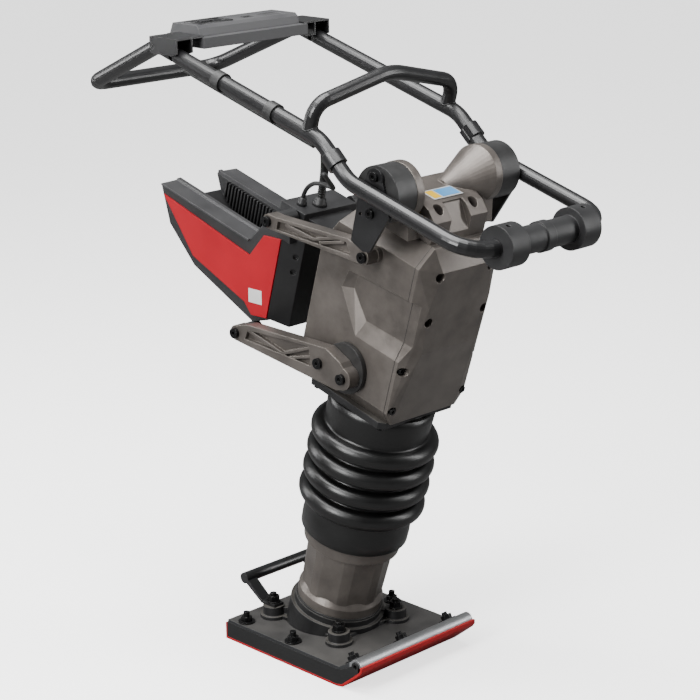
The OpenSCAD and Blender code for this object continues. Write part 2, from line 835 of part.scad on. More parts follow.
module torsion_disc() {
    cross_bar([disc_u, disc_s], case_hw + 1, arm_y - gap, disc_r);
}
module torsion_disc_left() {
    color(rubber) leaning() torsion_disc();
}
module torsion_disc_right() {
    color(rubber) leaning() mirror([0, 1, 0]) torsion_disc();
}

// =========================== handle frame ===========================
front_bend = 52;
shaft_hl = frame_hw - front_bend;
tube_route = [
    [tube_end_u, frame_hw, high_s], [jog_u1, frame_hw, high_s], [jog_u0, frame_hw, low_s],
    [roller_u, frame_hw, low_s], [roller_u, shaft_hl - eps, low_s]
];
module side_tube_left() {
    color(black_steel) leaning() bent_tube(tube_route, [0, 70, 70, front_bend - 0.1, 0]);
}
module side_tube_right() {
    color(black_steel) leaning() mirror([0, 1, 0])
        bent_tube(tube_route, [0, 70, 70, front_bend - 0.1, 0]);
}

// the straight cross tube that the roller turns on
module roller_shaft() {
    color(black_steel) leaning() difference() {
        cross_bar([roller_u, low_s], -shaft_hl + 0.2, shaft_hl - 0.2, tube_r);
        cross_bar([roller_u, low_s], -shaft_hl, shaft_hl, tube_r - tube_t);
    }
}

hoop_h = 80;
hoop_r = 12;
hoop_foot_s = high_s + 6;
hoop_route = [
    [hoop_u, -frame_hw, hoop_foot_s], [hoop_u, -frame_hw, high_s + 47],
    [hoop_u, 0, high_s + hoop_h + 4], [hoop_u, frame_hw, high_s + 47],
    [hoop_u, frame_hw, hoop_foot_s]
];
module lifting_hoop() {
    color(black_steel) leaning() difference() {
        sweep(centre_line(hoop_route, [0, 32, 120, 32, 0]), hoop_r, tube_n, forward);
        mirrored() bar([hoop_u - 60, frame_hw, high_s], [hoop_u + 40, frame_hw, high_s], tube_r);
    }
}

loop_route = [
    [tube_end_u - 8, -frame_hw, high_s], [-505, -frame_hw, high_s], [loop_u, -loop_hw, loop_s],
    [loop_u, loop_hw, loop_s], [-505, frame_hw, high_s], [tube_end_u - 8, frame_hw, high_s]
];
module rear_loop() {
    color(black_steel) leaning() bent_tube(loop_route, [0, 40, 36, 36, 40, 0]);
}

// steel plate between the side tube and its drum
module mount_plate() {
    difference() {
        union() {
            across(plate_y + plate_t / 2, plate_t) polygon([
                [drum_u - 25, drum_s + 26], [drum_u - 34, drum_s - 22], [drum_u - 32, drum_s - 40],
                [drum_u - 30, drum_s - 91], [drum_u - 2, drum_s - 97], [drum_u + 12, drum_s - 92],
                [drum_u + 37, drum_s - 22], [drum_u + 10, drum_s + 26]
            ]);
            cross_bar([drum_u - 7.5, drum_s + 24], plate_y, plate_y + plate_t, 17.5);
        }
        cross_bar([drum_u - 22, drum_s - 41], plate_y - 1, plate_y + plate_t + 1, 3);
    }
}
module mount_plate_left() {
    color(black_steel) leaning() mount_plate();
}
module mount_plate_right() {
    color(black_steel) leaning() mirror([0, 1, 0]) mount_plate();
}

plate_bolt_at = [[drum_u - 8, drum_s + 28], [drum_u - 1, drum_s - 31]];
module mount_bolts() {
    y = frame_hw - tube_r;
    color(black_steel) leaning() mirrored() for (at = plate_bolt_at) difference() {
        cross_bar(at, y, y + 5, 8);
        translate([at[0], y + 6, at[1]]) rotate([90, 0, 0]) hex_bolt(4, 4);
    }
}

// clamps round the bent stretch of each side tube
module tube_collars() {
    mid = ([jog_u0, 0, low_s] + [jog_u1, 0, high_s]) / 2;
    d = unit([jog_u0 - jog_u1, 0, low_s - high_s]);
    color(black_steel) leaning() mirrored() translate([0, frame_hw, 0]) difference() {
        bar(mid - d * 12, mid + d * 12, tube_r + 4);
        bar(mid - d * 14, mid + d * 14, tube_r);
        translate([-300, -tube_r - 20, 0]) cube([600, 20, 2000]);
    }
}

// channel brackets that join the side tubes, the rear loop and the panel; from here to the
// rocker the pieces stand level
bracket_l = 69;
bracket_x = at_world([tube_end_u + 17, high_s])[0];
bracket_z = at_world([tube_end_u + 17, high_s])[1] + 35;
bracket_t = 3;
module panel_brackets() {
    outer = frame_hw + tube_r + bracket_t + 0.3;
    x0 = bracket_x - bracket_l;
    color(black_steel) mirrored() {
        across(outer - bracket_t / 2, bracket_t) polygon([
            [x0, bracket_z], [bracket_x, bracket_z], [bracket_x, bracket_z - 25],
            [bracket_x - 14, bracket_z - 29], [x0, bracket_z - 29]
        ]);
        translate([x0, panel_hw - 4, bracket_z - bracket_t])
            cube([bracket_l, outer - panel_hw + 4, bracket_t]);
        across(frame_hw - tube_r - 5, bracket_t) polygon([
            [x0, bracket_z], [bracket_x, bracket_z], [bracket_x, bracket_z - 25],
            [bracket_x - 14, bracket_z - 29], [x0, bracket_z - 29]
        ]);
    }
}

panel_x1 = bracket_x + 5;
panel_l = 96;
panel_wall = 4;
panel_x0 = panel_x1 - panel_l;
panel_z1 = bracket_z - bracket_t;
panel_z0 = panel_z1 - panel_h;
module control_panel() {
    color(black_plastic) difference() {
        translate([panel_x0, -panel_hw, panel_z0]) cube([panel_l, 2 * panel_hw, panel_h]);
        translate([panel_x0 + panel_wall, -panel_hw + panel_wall, panel_z0 - 1])
            cube([panel_l - 2 * panel_wall, 2 * (panel_hw - panel_wall), panel_h - 3]);
    }
}

pod_y0 = -panel_hw + 5;
pod_y1 = panel_hw - 5;
pod_x1 = panel_x1 - 16;
pod_x0 = panel_x1 - 94;
module panel_pod() {
    color(black_plastic) difference() {
        across((pod_y0 + pod_y1) / 2, pod_y1 - pod_y0) polygon([
            [pod_x1, panel_z1], [pod_x1 - 4, panel_z1 + pod_h - 5],
            [pod_x1 - 10, panel_z1 + pod_h], [pod_x0 + 8, panel_z1 + pod_h], [pod_x0, panel_z1]
        ]);
        translate([pod_x1 - 50, pod_y0 + 18, panel_z1 + 5]) cube([34, 62, 40]);
        translate([pod_x1 - 40, pod_y0 + 120, panel_z1 + pod_h - 2]) cube([16, 26, 4]);
        translate([pod_x1 - 44, pod_y1 - 62, panel_z1 + pod_h - 1.5]) cube([26, 44, 4]);
    }
}

switch_x = pod_x1 - 33;
button_travel = 4;
module start_button() {
    color("#3a3a3a") translate([switch_x, pod_y0 + 35, panel_z1 + 5 + button_travel + gap])
        cylinder(r = 10, h = pod_h - 6);
}

module speed_rocker() {
    at = [switch_x, panel_z1 + pod_h - 4];
    color("#3a3a3a") translate([0, pod_y0 + 63, 0]) cross_bar(at, -9, 9, 7);
}

// harness under the right side tube, from the jog to the panel, with its clips
harness_r = 4.5;
module tube_harness() {
    y = -frame_hw + 5;
    s = high_s - tube_r - harness_r - 0.6;
    color(rubber) leaning() {
        bar([tube_end_u + 20, y, s], [jog_u1 - 14, y, s], harness_r);
        for (u = [-345, -215]) difference() {
            bar([u - 9, -frame_hw, high_s], [u + 9, -frame_hw, high_s], tube_r + 3);
            bar([u - 10, -frame_hw, high_s], [u + 10, -frame_hw, high_s], tube_r + 0.2);
            bar([u - 10, y, s], [u + 10, y, s], harness_r);
        }
    }
}

// lifting roller: two flanges and a split barrel with a middle band
roller_barrel_r = 22;
roller_flange_w = 39;
module roller() {
    color("#333333") leaning() difference() {
        union() {
            mirrored() cross_bar([roller_u, low_s], roller_hl - roller_flange_w, roller_hl, roller_r);
            cross_bar([roller_u, low_s], -roller_hl, roller_hl, roller_barrel_r);
            cross_bar([roller_u, low_s], -9, 9, roller_barrel_r + 2.5);
        }
        cross_bar([roller_u, low_s], -roller_hl - 1, roller_hl + 1, tube_r + fit);
        mirrored() translate([roller_u, roller_hl - 16, low_s]) cylinder(r = 4, h = 60);
    }
}

// =========================== bay and arms ===========================
// an arm: a thick plate sunk on both faces between its edges, with crossed ribs
module arm(outline, hollow, ribs, rear, front, rear_r, front_r) {
    y0 = arm_y;
    y1 = arm_y + arm_t;
    sink = 8;
    difference() {
        union() {
            across(arm_y + arm_t / 2, arm_t) polygon(outline);
            cross_bar(rear, y0, y1, rear_r);
            cross_bar(front, y0, y1, front_r);
        }
        difference() {
            for (y = [y0, y1]) across(y, 2 * sink) polygon(hollow);
            for (r = ribs) across(arm_y + arm_t / 2, arm_t - 1) polygon(rib(r[0], r[1], 5));
        }
        children();
    }
}
function rib(a, b, w) = let (d = unit(b - a), n = [-d[1], d[0]] * w / 2)
    [a + n, b + n, b - n, a - n];

low_outline = [
    low_pivot + [-2, 13], low_pivot + [24, 27], [-38, case_s + 88], [0, case_s + 80],
    [20, case_s + 66], [24, case_s + 44], [4, case_s + 31], low_pivot + [2, -13]
];
low_hollow = [
    low_pivot + [26, 18], [-74, case_s + 73], [-62, case_s + 42], low_pivot + [24, 0]
];
module lower_arm() {
    arm(low_outline, low_hollow,
        [[low_pivot + [26, 18], [-130, case_s + 30]], [[-130, case_s + 30], [-68, case_s + 74]],
         [[-112, case_s + 32], [-62, case_s + 60]]],
        low_pivot, low_bolt_b, 13, 19) {
            cross_bar(low_pivot, 0, 300, pivot_r + fit);
            for (p = [low_bolt_a, low_bolt_b]) cross_bar(p, 0, 300, pivot_r);
    }
}
module lower_arm_left() {
    color(casting) leaning() lower_arm();
}
module lower_arm_right() {
    color(casting) leaning() mirror([0, 1, 0]) lower_arm();
}

top_outline = [
    top_pivot + [-4, 12], top_pivot + [14, 14], [-38, case_s + 287], [6, case_s + 284],
    [12, case_s + 264], [-4, case_s + 259], top_pivot + [2, -12]
];
top_hollow = [
    top_pivot + [22, 10], [-40, case_s + 280], [-24, case_s + 264], top_pivot + [22, -5]
];
module upper_arm() {
    arm(top_outline, top_hollow,
        [[top_pivot + [40, 12], [-110, case_s + 252]], [[-110, case_s + 252], [-60, case_s + 278]],
         [[-96, case_s + 252], [-44, case_s + 278]]],
        top_pivot, top_boss, 12, 12) {
            cross_bar(top_pivot, 0, 300, pivot_r + 1);
            cross_bar(top_boss, 0, 300, pivot_r + fit);
    }
}
module upper_arm_left() {
    color(casting) leaning() upper_arm();
}
module upper_arm_right() {
    color(casting) leaning() mirror([0, 1, 0]) upper_arm();
}

// bolts that fix the lower arms to their discs
module arm_bolts() {
    y1 = arm_y + arm_t;
    color(black_steel) leaning() mirrored() for (p = [low_bolt_a, low_bolt_b]) difference() {
        union() {
            cross_bar(p, arm_y, y1, pivot_r);
            cross_bar(p, y1, y1 + 6, 9);
        }
        translate([p[0], y1 + 7, p[1]]) rotate([90, 0, 0]) hex_bolt(4, 4);
    }
}

// bolts in the bay that the rear ends of both arms turn on
module pivot_bolts() {
    y1 = arm_y + arm_t;
    color(black_steel) leaning() mirrored() for (p = [low_pivot, top_pivot]) difference() {
        union() {
            cross_bar(p, bay_hw - 20, y1 + gap, pivot_r);
            cross_bar(p, y1 + gap, y1 + gap + 6, 9);
        }
        translate([p[0], y1 + gap + 7, p[1]]) rotate([90, 0, 0]) hex_bolt(4, 4);
    }
}

// bolts in the crankcase that the upper arms turn on
module boss_bolts() {
    y1 = arm_y + arm_t;
    color(black_steel) leaning() mirrored() difference() {
        union() {
            cross_bar(top_boss, case_hw - boss_in, y1 + gap, pivot_r - fit);
            cross_bar(top_boss, y1 + gap, y1 + gap + 5, 9);
        }
        translate([top_boss[0], y1 + gap + 6, top_boss[1]]) rotate([90, 0, 0]) hex_bolt(4, 4);
    }
}

lug_out = arm_y - gap;
ear_t = 19;
module bay_shell() {
    inner = bay_hw - skin_t;
    color(black_plastic) leaning() difference() {
        union() {
            intersection() {
                across(0, 2 * inner) polygon(bay_side);
                // front corners cut back, seen from above
                linear_extrude(height = 2000) polygon([
                    [-700, -inner], [-215, -inner], [bay_front_u, -inner + 26],
                    [bay_front_u, inner - 26], [-215, inner], [-700, inner]
                ]);
            }
            mirrored() {
                cross_bar(low_pivot, inner - 12, lug_out, 12);
                cross_bar(top_pivot, inner - ear_t, lug_out, 12);
                across(inner - ear_t / 2, ear_t) polygon([
                    [-258, tower_s - 3], [bay_front_u - 10, tower_s - 3],
                    top_pivot + [11, 3], top_pivot + [-11, 4]
                ]);
            }
        }
        // battery slot
        across(0, 2 * slot_hw) polygon([
            [bay_back_u - 10, bay_s + 20], [bay_back_u + 10, bay_s - 22],
            [bay_back_u + 120, bay_s - 84], [rail_end_u + 4, bay_s - 84], [rail_end_u + 4, bay_s + 60]
        ]);
        // pocket the latch swings in
        translate([latch_at[0] - 8, -latch_hw - 2, latch_at[1] - 6])
            cube([22, 2 * latch_hw + 4, 80]);
        // room for the electronics in the tower
        translate([-256, -60, bay_s - 100]) cube([56, 120, 86]);
        mirrored() for (p = [low_pivot, top_pivot]) cross_bar(p, bay_hw - 20, 300, pivot_r);
        mirrored() for (s = [30, 2]) translate([bay_front_u - 4, inner - 15, bay_s + s - 20])
            rotate([0, 90, 45]) cylinder(r = 5, h = 20, center = true);
    }
}

module side_panels() {
    color(red) leaning() mirrored() across(bay_hw - skin_t / 2, skin_t) polygon(panel_side);
}

// guide rails either side of the battery slot
module bay_rails() {
    color("#6f6f6f") leaning() mirrored() translate([bay_back_u + 2, 0, bay_s])
        rotate([90, 0, 90]) linear_extrude(height = rail_end_u - bay_back_u - 2) polygon([
            [slot_hw, 0], [bay_hw, 0], [bay_hw, 3], [slot_hw + 10, 4], [slot_hw + 8, 7],
            [slot_hw, 7]
        ]);
}

// spring latch that holds the battery at the front of the slot
latch_at = [rail_end_u + 11, bay_s + 3];
latch_hw = 22;
module battery_latch() {
    color("#3a3a3a") leaning() {
        cross_bar(latch_at, -latch_hw, latch_hw, 5);
        translate([latch_at[0] - 5, -latch_hw, latch_at[1]]) cube([10, 2 * latch_hw, 62]);
        translate([latch_at[0] - 9, -latch_hw + 6, latch_at[1] + 50])
            cube([6, 2 * latch_hw - 12, 10]);
    }
}

module controller_housing() {
    color(black_plastic) leaning() difference() {
        union() {
            translate([housing_u0, -housing_hw, tower_s + housing_gap])
                cube([housing_u1 - housing_u0, 2 * housing_hw, housing_s - tower_s - housing_gap]);
            // arm that holds it to the crankcase's back
            translate([housing_u1 - 1, -housing_hw + 12, housing_s - 24])
                cube([case_side[4][0] - housing_u1 + 1, 2 * housing_hw - 24, 14]);
        }
        for (u = [housing_u0 + 6 : 8 : housing_u1 - 8])
            translate([u, -housing_hw - 1, tower_s + housing_gap - 1])
                cube([4, 2 * housing_hw + 2, 12]);
    }
}

// glands on the housing, the thick power conduit and the thin signal lead
conduit_route = [
    [-218, -8, 0], [-218, -8, 14], [-217, -10, 34], [-213, -16, 56], [-206, -26, 78],
    [-196, -40, 98], [-184, -56, 116], [-170, -74, 132], [-154, -92, 146]
];
lead_route = [
    [-230, -38, 0], [-230, -38, 12], [-226, -40, 26], [-216, -45, 40], [-200, -52, 54],
    [-182, -60, 64], [-164, -66, 72], [-146, -74, 78], [-130, -82, 82]
];
function lifted(route, s) = [for (p = route) [p[0], p[1], p[2] + s]];
module bay_cables() {
    color(rubber) leaning() {
        for (p = [[conduit_route[0], 11], [lead_route[0], 8]])
            translate([p[0][0], p[0][1], housing_s]) cylinder(r = p[1], h = 6);
        sweep(lifted(conduit_route, housing_s), 7, 12, forward);
        sweep(lifted(lead_route, housing_s), 3.6, 10, [0, 1, 0.1]);
    }
}

sole_plate();
shoe_core();
shoe_deck();
shoe_bolts();
base_casting();
base_nuts();
foot_grip();
leg_gasket();
leg_casting();
spring_cylinder();
lower_spring();
upper_spring();
piston();
piston_rod();
bellows();
guide_cylinder();
base_flange();
flange_bolts();
crankcase();
front_cover();
crankcase_bolts();
crank_bearings();
crank_gear();
con_rod();
motor_stator();
motor_rotor();
top_casting();
drum_right();
drum_left();
torsion_disc_right();
torsion_disc_left();
side_tube_right();
side_tube_left();
roller_shaft();
lifting_hoop();
rear_loop();
mount_plate_right();
mount_plate_left();
mount_bolts();
tube_collars();
panel_brackets();
control_panel();
panel_pod();
start_button();
speed_rocker();
tube_harness();
roller();
lower_arm_right();
lower_arm_left();
upper_arm_right();
upper_arm_left();
arm_bolts();
pivot_bolts();
boss_bolts();
bay_shell();
side_panels();
bay_rails();
battery_latch();
controller_housing();
bay_cables();
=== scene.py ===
import math

import bmesh
import bpy
from mathutils import Matrix, Vector


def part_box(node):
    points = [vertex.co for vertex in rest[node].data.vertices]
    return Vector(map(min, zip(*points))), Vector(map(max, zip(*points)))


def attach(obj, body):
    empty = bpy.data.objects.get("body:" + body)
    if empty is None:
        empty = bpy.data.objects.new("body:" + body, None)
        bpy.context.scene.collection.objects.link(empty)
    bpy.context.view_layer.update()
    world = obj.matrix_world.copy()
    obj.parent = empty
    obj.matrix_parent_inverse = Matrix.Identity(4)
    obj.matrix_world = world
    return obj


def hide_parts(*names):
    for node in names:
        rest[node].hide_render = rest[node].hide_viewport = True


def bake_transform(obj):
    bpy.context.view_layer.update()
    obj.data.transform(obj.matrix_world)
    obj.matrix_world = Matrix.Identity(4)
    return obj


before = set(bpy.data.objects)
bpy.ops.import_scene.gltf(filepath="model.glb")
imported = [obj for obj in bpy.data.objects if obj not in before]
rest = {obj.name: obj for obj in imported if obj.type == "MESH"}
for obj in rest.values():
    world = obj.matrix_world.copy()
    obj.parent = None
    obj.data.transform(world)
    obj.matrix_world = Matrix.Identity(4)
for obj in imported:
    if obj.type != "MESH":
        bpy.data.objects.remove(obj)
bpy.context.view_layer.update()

# The leg, crankcase and frame all lean forward by 16 degrees from a point behind the shoe's
# middle. In the leaning frame X is forward, square to the leg, and Z runs up the leg.
LEAN = Matrix.Translation((-0.0485, 0, 0)) @ Matrix.Rotation(math.radians(16), 4, "Y")


def linear(code):
    """An sRGB hex colour as linear RGBA."""
    part = [int(code[i : i + 2], 16) / 255 for i in (1, 3, 5)]
    return [c / 12.92 if c <= 0.04045 else ((c + 0.055) / 1.055) ** 2.4 for c in part] + [1.0]


def add(tree, kind, links=(), **values):
    """One shader node: values set its properties or input sockets, links feed its inputs."""
    node = tree.nodes.new("ShaderNode" + kind)
    for key, value in values.items():
        if hasattr(node, key):
            setattr(node, key, value)
        else:
            node.inputs[key.replace("_", " ")].default_value = value
    for socket, source in links:
        tree.links.new(source, node.inputs[socket])
    return node


def ramp(tree, source, stops):
    """A colour ramp over source; stops are (position, hex or grey level)."""
    node = add(tree, "ValToRGB", [(0, source)])
    band = node.color_ramp
    while len(band.elements) < len(stops):
        band.elements.new(0.5)
    for element, (where, level) in zip(band.elements, stops):
        element.position = where
        element.color = linear(level) if isinstance(level, str) else (level, level, level, 1)
    return node.outputs["Color"]


def finish(name, main, shade, rough, grain_mm, grain, patch_mm=60, metal=0.0, edge=None,
           edge_mm=1.2, coat=0.0, dust=0.0, brushed=None, ior=None, highlight_band=None):
    """A material: two close tones in patches, a fine grain in relief, uneven sheen, softened
    edges that wear to another tone, and a little dust on what faces up."""
    mat = bpy.data.materials.new(name)
    mat.use_nodes = True
    t = mat.node_tree
    bsdf = t.nodes["Principled BSDF"]
    place = add(t, "TexCoord").outputs["Object"]
    if brushed:
        place = add(t, "Mapping", [("Vector", place)], Scale=brushed).outputs["Vector"]
    patches = add(t, "TexNoise", [("Vector", place)], Scale=1000 / patch_mm, Detail=5.0,
                  Roughness=0.6).outputs["Fac"]
    fine = add(t, "TexNoise", [("Vector", place)], Scale=1000 / grain_mm, Detail=3.0,
               Roughness=0.55).outputs["Fac"]
    tone = ramp(t, patches, [(0.3, shade), (0.7, main)])
    soft = add(t, "Bevel", Radius=edge_mm / 1000, samples=4).outputs["Normal"]
    flat = add(t, "NewGeometry").outputs["Normal"]
    if edge:
        turn = add(t, "VectorMath", [(0, soft), (1, flat)], operation="DOT_PRODUCT")
        rim = add(t, "MapRange", [("Value", turn.outputs["Value"])])
        rim.inputs["From Min"].default_value = 0.995
        rim.inputs["From Max"].default_value = 0.86
        chips = add(t, "Math", [(0, rim.outputs["Result"]), (1, fine)], operation="MULTIPLY")
        tone = add(t, "Mix", [(0, chips.outputs[0]), (6, tone)], data_type="RGBA")
        tone.inputs[7].default_value = linear(edge)
        tone = tone.outputs[2]
    metallic = None
    # Painted highlight: past a given X the colour turns pale metal grey and the metal rises,
    # standing in for the light along a rolled edge.
    if highlight_band:
        along = add(t, "SeparateXYZ", [(0, add(t, "TexCoord").outputs["Object"])]).outputs["X"]
        highlight_mask = add(t, "MapRange", [("Value", along)])
        highlight_mask.inputs["From Min"].default_value = highlight_band[0]
        highlight_mask.inputs["From Max"].default_value = highlight_band[1]
        tone = add(t, "Mix", [(0, highlight_mask.outputs["Result"]), (6, tone)], data_type="RGBA")
        tone.inputs[7].default_value = linear(highlight_band[2])
        tone = tone.outputs[2]
        metallic = add(t, "MapRange", [("Value", highlight_mask.outputs["Result"])])
        metallic.inputs["To Min"].default_value = metal
        metallic.inputs["To Max"].default_value = 0.9
    if dust:
        up = add(t, "SeparateXYZ", [(0, flat)]).outputs["Z"]
        lie = add(t, "MapRange", [("Value", up)])
        lie.inputs["From Min"].default_value = 0.55
        lie.inputs["To Max"].default_value = dust
        amount = add(t, "Math", [(0, lie.outputs["Result"]), (1, patches)], operation="MULTIPLY")
        tone = add(t, "Mix", [(0, amount.outputs[0]), (6, tone)], data_type="RGBA")
        tone.inputs[7].default_value = linear("#8f8a82")
        tone = tone.outputs[2]
    t.links.new(tone, bsdf.inputs["Base Color"])
    sheen = ramp(t, patches, [(0.25, max(rough - 0.09, 0.03)), (0.75, min(rough + 0.09, 1))])
    t.links.new(sheen, bsdf.inputs["Roughness"])
    relief = add(t, "Bump", [("Height", fine), ("Normal", soft)], Strength=grain,
                 Distance=grain_mm / 4000)
    t.links.new(relief.outputs["Normal"], bsdf.inputs["Normal"])
    bsdf.inputs["Metallic"].default_value = metal
    if metallic:
        t.links.new(metallic.outputs["Result"], bsdf.inputs["Metallic"])
    bsdf.inputs["Coat Weight"].default_value = coat
    bsdf.inputs["Coat Roughness"].default_value = 0.25
    if ior:
        bsdf.inputs["IOR"].default_value = ior
    return mat


def dress(material, *names):
    """The CAD nodes of these names wear the material."""
    for name in names:
        rest[name].data.materials.clear()
        rest[name].data.materials.append(material)


def solid(name, points, faces, material, body, placed=None, smooth=True):
    """A mesh piece, moved by placed if it is given, that rides on a body if one is named."""
    mesh = bpy.data.meshes.new(name)
    mesh.from_pydata([tuple(p) for p in points], [], faces)
    bm = bmesh.new()
    bm.from_mesh(mesh)
    bmesh.ops.recalc_face_normals(bm, faces=bm.faces)
    bm.to_mesh(mesh)
    bm.free()
    if placed is not None:
        mesh.transform(placed)
    if smooth:
        mesh.shade_smooth()
    mesh.materials.append(material)
    piece = bpy.data.objects.new(name, mesh)
    bpy.context.scene.collection.objects.link(piece)
    if body:
        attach(piece, body)
    return piece


def turned(name, profile, material, body, steps=96, placed=None, closed=True):
    """A profile of (radius, height) turned round Z."""
    n = len(profile)
    points = [
        (r * math.cos(math.tau * k / steps), r * math.sin(math.tau * k / steps), z)
        for k in range(steps)
        for r, z in profile
    ]
    faces = []
    for k in range(steps):
        m = (k + 1) % steps
        for i in range(n if closed else n - 1):
            j = (i + 1) % n
            faces.append((k * n + i, m * n + i, m * n + j, k * n + j))
    return solid(name, points, faces, material, body, placed)


def hose(name, route, radius, material, body, steps=16, placed=None, cuts=90):
    """A round section swept along a smooth curve through the route; radius may be a function
    of the distance along it."""
    way = [Vector(p) for p in route]
    way = [2 * way[0] - way[1]] + way + [2 * way[-1] - way[-2]]
    line = []
    for i in range(1, len(way) - 2):
        a, b, c, d = way[i - 1 : i + 3]
        for k in range(cuts // (len(way) - 3)):
            u = k / (cuts // (len(way) - 3))
            line.append(0.5 * (2 * b + (c - a) * u + (2 * a - 5 * b + 4 * c - d) * u * u
                               + (3 * b - a - 3 * c + d) * u ** 3))
    line.append(way[-2])
    points, faces, gone = [], [], 0.0
    ahead = (line[1] - line[0]).normalized()
    side = ahead.orthogonal().normalized()
    for i, p in enumerate(line):
        heading = (line[min(i + 1, len(line) - 1)] - line[max(i - 1, 0)]).normalized()
        side = (ahead.rotation_difference(heading) @ side).normalized()
        ahead = heading
        gone += (p - line[i - 1]).length if i else 0.0
        r = radius(gone) if callable(radius) else radius
        other = ahead.cross(side)
        for k in range(steps):
            a = math.tau * k / steps
            points.append(p + r * (math.cos(a) * side + math.sin(a) * other))
    for i in range(len(line) - 1):
        for k in range(steps):
            m = (k + 1) % steps
            faces.append((i * steps + k, i * steps + m, (i + 1) * steps + m, (i + 1) * steps + k))
    faces.append(tuple(range(steps)))
    faces.append(tuple((len(line) - 1) * steps + k for k in range(steps)))
    return solid(name, points, faces, material, body, placed)


def slab(name, outline, low, high, soft, material, body, placed=None):
    """A plate of that outline (in X and Y) between two heights, its edges rounded by soft."""
    mesh = bpy.data.meshes.new(name)
    bm = bmesh.new()
    base = [bm.verts.new((x, y, low)) for x, y in outline]
    top = [bm.verts.new((x, y, high)) for x, y in outline]
    n = len(outline)
    bm.faces.new(base[::-1])
    bm.faces.new(top)
    for i in range(n):
        bm.faces.new((base[i], base[(i + 1) % n], top[(i + 1) % n], top[i]))
    bmesh.ops.recalc_face_normals(bm, faces=bm.faces)
    if soft:
        bmesh.ops.bevel(bm, geom=bm.edges[:], offset=soft, segments=3, affect="EDGES",
                        profile=0.5)
    bm.to_mesh(mesh)
    bm.free()
    if placed is not None:
        mesh.transform(placed)
    mesh.shade_smooth()
    mesh.set_sharp_from_angle(angle=math.radians(50))
    mesh.materials.append(material)
    piece = bpy.data.objects.new(name, mesh)
    bpy.context.scene.collection.objects.link(piece)
    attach(piece, body)
    return piece


def rect(x0, y0, x1, y1):
    return [(x0, y0), (x1, y0), (x1, y1), (x0, y1)]


# Sole: a red polyurethane plate, moulded and screwed under the shoe, that wraps its back and
# nose. It takes the wear, so its edges are scuffed paler.
sole = finish("red polyurethane sole", "#a8000a", "#980008", 0.42, 1.2, 0.25, 90,
              edge="#d81418", edge_mm=1.5, ior=1.5)
dress(sole, "sole_plate")

# Shoe core: laminated wood block in black plastic. Only its sides show.
core = finish("black shoe laminate", "#0d0d0e", "#09090a", 0.6, 2.0, 0.35, 40,
              brushed=(0.25, 1, 3), edge="#2a2a2a", ior=1.5)
dress(core, "shoe_core")

# Deck and nose: rolled steel plate, painted dark grey; the roll along the nose is given a pale
# bare-metal grey and a metal finish, a painted highlight where the light runs along its round
# top.
deck = finish("dark grey painted steel plate", "#2b2c2e", "#202123", 0.4, 1.0, 0.2, 70,
              edge="#5a5a58", edge_mm=0.8, dust=0.25, ior=1.5, highlight_band=(0.139, 0.143, "#a2a3a5"))
dress(deck, "shoe_deck")

# Base: a black painted iron casting with bolted lugs, and the round carrying grip behind it.
iron = finish("black painted cast iron", "#141415", "#0c0c0d", 0.5, 1.4, 0.6, 35,
              edge="#4a4a49", edge_mm=2.0, dust=0.35, ior=1.5)
dress(iron, "base_casting", "base_flange")

# Frame: black powder coated steel tube and folded plate, welded and bolted.
coated = finish("black powder coated steel", "#1b1b1c", "#141415", 0.31, 0.7, 0.35, 120,
                edge="#2c2c2c", edge_mm=1.0, coat=0.15, ior=1.5)
dress(coated, "foot_grip", "side_tube_right", "side_tube_left", "roller_shaft", "lifting_hoop",
      "rear_loop", "mount_plate_right", "mount_plate_left", "tube_collars", "panel_brackets")

# Bolts and nuts: black zinc plated steel with slightly polished edges.
plated = finish("black zinc plated steel", "#1d1d1e", "#131314", 0.35, 0.6, 0.2, 15, metal=0.7,
                edge="#6a6a68", edge_mm=0.6)
dress(plated, "shoe_bolts", "base_nuts", "flange_bolts", "crankcase_bolts", "mount_bolts",
      "arm_bolts", "pivot_bolts", "boss_bolts")

# Castings: aluminium in a warm grey metallic paint over a sand cast grain.
cast = finish("warm grey painted cast aluminium", "#6f6964", "#57524e", 0.4, 1.1, 0.75, 55,
              metal=0.6, edge="#8f8981", edge_mm=2.2, coat=0.1)
dress(cast, "leg_casting", "crankcase", "front_cover", "top_casting", "lower_arm_right",
      "lower_arm_left", "upper_arm_right", "upper_arm_left")

# Rubber mounts, discs, gasket and harness sleeve: black moulded rubber, faintly bloomed.
rubber = finish("black moulded rubber", "#262626", "#1c1c1c", 0.45, 0.8, 0.3, 30, edge="#2a2a2a",
                edge_mm=1.5, ior=1.52)
dress(rubber, "leg_gasket", "drum_right", "drum_left", "torsion_disc_right",
      "torsion_disc_left", "tube_harness")

# Running gear inside the castings: ground and spring steel, machined aluminium and copper.
ground = finish("ground steel", "#8d8f92", "#7b7d80", 0.28, 0.8, 0.15, 25, metal=1.0,
                edge="#b5b6b8", edge_mm=0.5)
dress(ground, "spring_cylinder", "piston_rod", "guide_cylinder", "motor_rotor", "crank_gear",
      "con_rod", "crank_bearings")
drawn = finish("oiled spring steel", "#5d5f63", "#494b4f", 0.35, 0.9, 0.2, 20, metal=1.0)
dress(drawn, "lower_spring", "upper_spring")
turned_alloy = finish("machined aluminium", "#a7a9ab", "#999b9d", 0.3, 0.7, 0.15, 25, metal=1.0)
dress(turned_alloy, "piston")
winding = finish("varnished copper winding", "#9a5a2c", "#7a4420", 0.35, 0.8, 0.6, 12, metal=0.9)
dress(winding, "motor_stator")

# Battery bay, controller and roller: black glass filled nylon with a fine moulded texture.
nylon = finish("black glass filled nylon", "#1d1d1e", "#161617", 0.5, 0.55, 0.5, 80,
               edge="#424242", edge_mm=1.6, ior=1.53)
dress(nylon, "bay_shell", "controller_housing", "roller")

